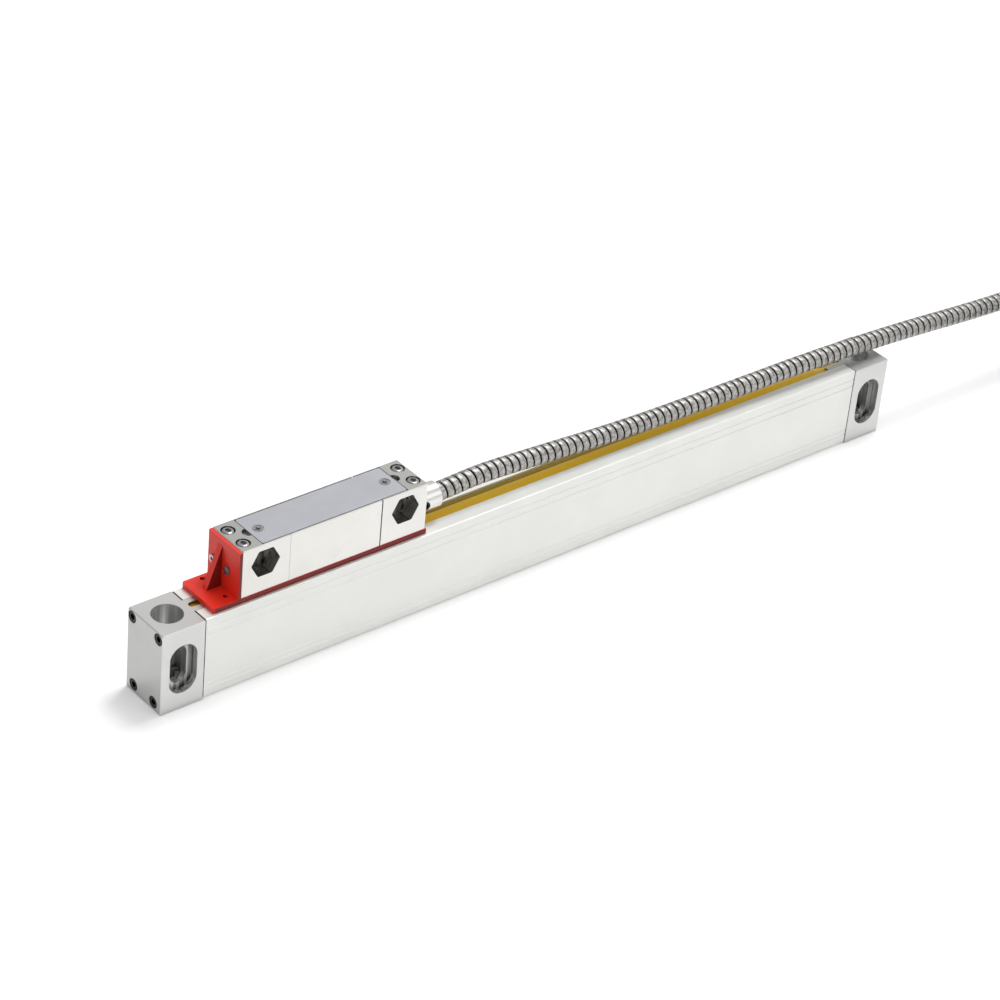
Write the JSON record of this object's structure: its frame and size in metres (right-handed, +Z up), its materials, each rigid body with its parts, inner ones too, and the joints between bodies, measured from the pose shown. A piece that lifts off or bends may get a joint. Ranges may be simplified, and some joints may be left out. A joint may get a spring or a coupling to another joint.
{
  "type": "linear glass scale",
  "caption": "Sealed linear encoder: extruded housing with lips and slotted end blocks, a reading head on a red transport bracket, and an armoured lead with a plug.",
  "frame": {"origin": "under the middle of the scale unit, in the plane its end blocks stand on, midway between the blocks' front and rear faces", "axes": "+X along the scale towards the end where the lead leaves, -Y the front with the nut pockets and the slots' counterbores, +Z up"},
  "size_m": [0.5107, 0.1011, 0.0526],
  "materials": {
    "profile_aluminium": "fine clear-anodised extrusion",
    "block_aluminium": "satin anodised, machined",
    "head_aluminium": "satin anodised, machined",
    "lid_aluminium": "satin anodised sheet",
    "lip_rubber": "smooth amber elastomer",
    "gasket_rubber": "matt black",
    "buffer_rubber": "matt black",
    "scale_glass": "clear glass with a grating",
    "clamp_rubber": "matt grey",
    "black_screw": "black oxide",
    "bright_screw": "zinc plated",
    "blade_steel": "ground stainless steel",
    "carriage_alloy": "black anodised casting",
    "bearing_steel": "ground bearing steel",
    "board_green": "solder mask",
    "chip_black": "moulded epoxy",
    "flex_amber": "polyimide film",
    "lens_glass": "clear glass",
    "lead_jacket": "black jacket",
    "bracket_red": "red powder coat",
    "gland_steel": "polished nickel",
    "conduit_steel": "strip-wound stainless steel",
    "hood_zinc": "plated die casting",
    "shell_tin": "tin plated steel",
    "insert_plastic": "moulded thermoplastic",
    "pin_gold": "gold plated"
  },
  "bodies": {
    "scale_body": {"scale_housing": "profile_aluminium", "left_end_block": "block_aluminium", "right_end_block": "block_aluminium", "left_end_gasket": "gasket_rubber", "right_end_gasket": "gasket_rubber", "left_block_screws": "black_screw", "right_block_screws": "black_screw", "front_seal_lip": "lip_rubber", "rear_seal_lip": "lip_rubber", "glass_scale": "scale_glass", "glass_clamp_strip": "clamp_rubber", "left_stop_buffer": "buffer_rubber", "right_stop_buffer": "buffer_rubber"},
    "reading_head": {"head_body": "head_aluminium", "head_left_block": "head_aluminium", "head_right_block": "head_aluminium", "head_lid": "lid_aluminium", "head_lid_screws": "bright_screw", "head_top_screws": "bright_screw", "head_floor_screws": "bright_screw", "head_plug": "head_aluminium", "blade": "blade_steel", "blade_screws": "bright_screw", "signal_flex": "flex_amber", "head_board": "board_green", "board_chips": "chip_black", "signal_lead": "lead_jacket", "scanning_carriage": "carriage_alloy", "roller_pins": "bearing_steel", "carriage_board": "board_green", "photo_array": "chip_black", "index_reticle": "lens_glass", "light_board": "board_green", "light_lens": "lens_glass", "coupling_wire": "blade_steel", "transport_bracket": "bracket_red", "bracket_screws": "bright_screw", "conduit_gland": "gland_steel", "gland_set_screw": "black_screw", "conduit_run": "conduit_steel", "conduit_coil": "conduit_steel", "conduit_tail": "conduit_steel", "plug_hood": "hood_zinc", "plug_cover_screws": "bright_screw", "plug_shell": "shell_tin", "plug_insert": "insert_plastic", "plug_pins": "pin_gold"},
    "left_face_roller_body": {"left_face_roller": "bearing_steel"},
    "right_face_roller_body": {"right_face_roller": "bearing_steel"},
    "lower_face_roller_body": {"lower_face_roller": "bearing_steel"},
    "left_edge_roller_body": {"left_edge_roller": "bearing_steel"},
    "right_edge_roller_body": {"right_edge_roller": "bearing_steel"},
    "left_thumb_screw_body": {"left_thumb_screw": "bright_screw"},
    "right_thumb_screw_body": {"right_thumb_screw": "bright_screw"}
  },
  "joints": [
    {"name": "head_slide", "type": "slide", "parent": "scale_body", "child": "reading_head", "axis": [1, 0, 0], "range_m": [-0.015, 0.205]},
    {"name": "left_face_roller_spin", "type": "hinge", "parent": "reading_head", "child": "left_face_roller_body", "pos_m": [-0.121, -0.0017, 0.0128], "axis": [0, 0, 1], "continuous": true},
    {"name": "right_face_roller_spin", "type": "hinge", "parent": "reading_head", "child": "right_face_roller_body", "pos_m": [-0.069, -0.0017, 0.0128], "axis": [0, 0, 1], "continuous": true},
    {"name": "lower_face_roller_spin", "type": "hinge", "parent": "reading_head", "child": "lower_face_roller_body", "pos_m": [-0.08, -0.0017, 0.009], "axis": [0, 0, 1], "continuous": true},
    {"name": "left_edge_roller_spin", "type": "hinge", "parent": "reading_head", "child": "left_edge_roller_body", "pos_m": [-0.116, 0.0019, 0.0175], "axis": [0, 1, 0], "continuous": true},
    {"name": "right_edge_roller_spin", "type": "hinge", "parent": "reading_head", "child": "right_edge_roller_body", "pos_m": [-0.074, 0.0019, 0.0175], "axis": [0, 1, 0], "continuous": true},
    {"name": "left_thumb_screw_turn", "type": "hinge", "parent": "reading_head", "child": "left_thumb_screw_body", "pos_m": [0.2196, -0.0629, 0.0078], "axis": [1, 0, 0], "continuous": true},
    {"name": "right_thumb_screw_turn", "type": "hinge", "parent": "reading_head", "child": "right_thumb_screw_body", "pos_m": [0.2196, -0.0879, 0.0078], "axis": [1, 0, 0], "continuous": true}
  ],
  "couplings": [
    {"joint": "left_face_roller_spin", "follows": "head_slide", "rad_per_m": 408.16},
    {"joint": "right_face_roller_spin", "follows": "head_slide", "rad_per_m": 408.16},
    {"joint": "lower_face_roller_spin", "follows": "head_slide", "rad_per_m": 408.16},
    {"joint": "left_edge_roller_spin", "follows": "head_slide", "rad_per_m": 408.16},
    {"joint": "right_edge_roller_spin", "follows": "head_slide", "rad_per_m": 408.16}
  ]
}
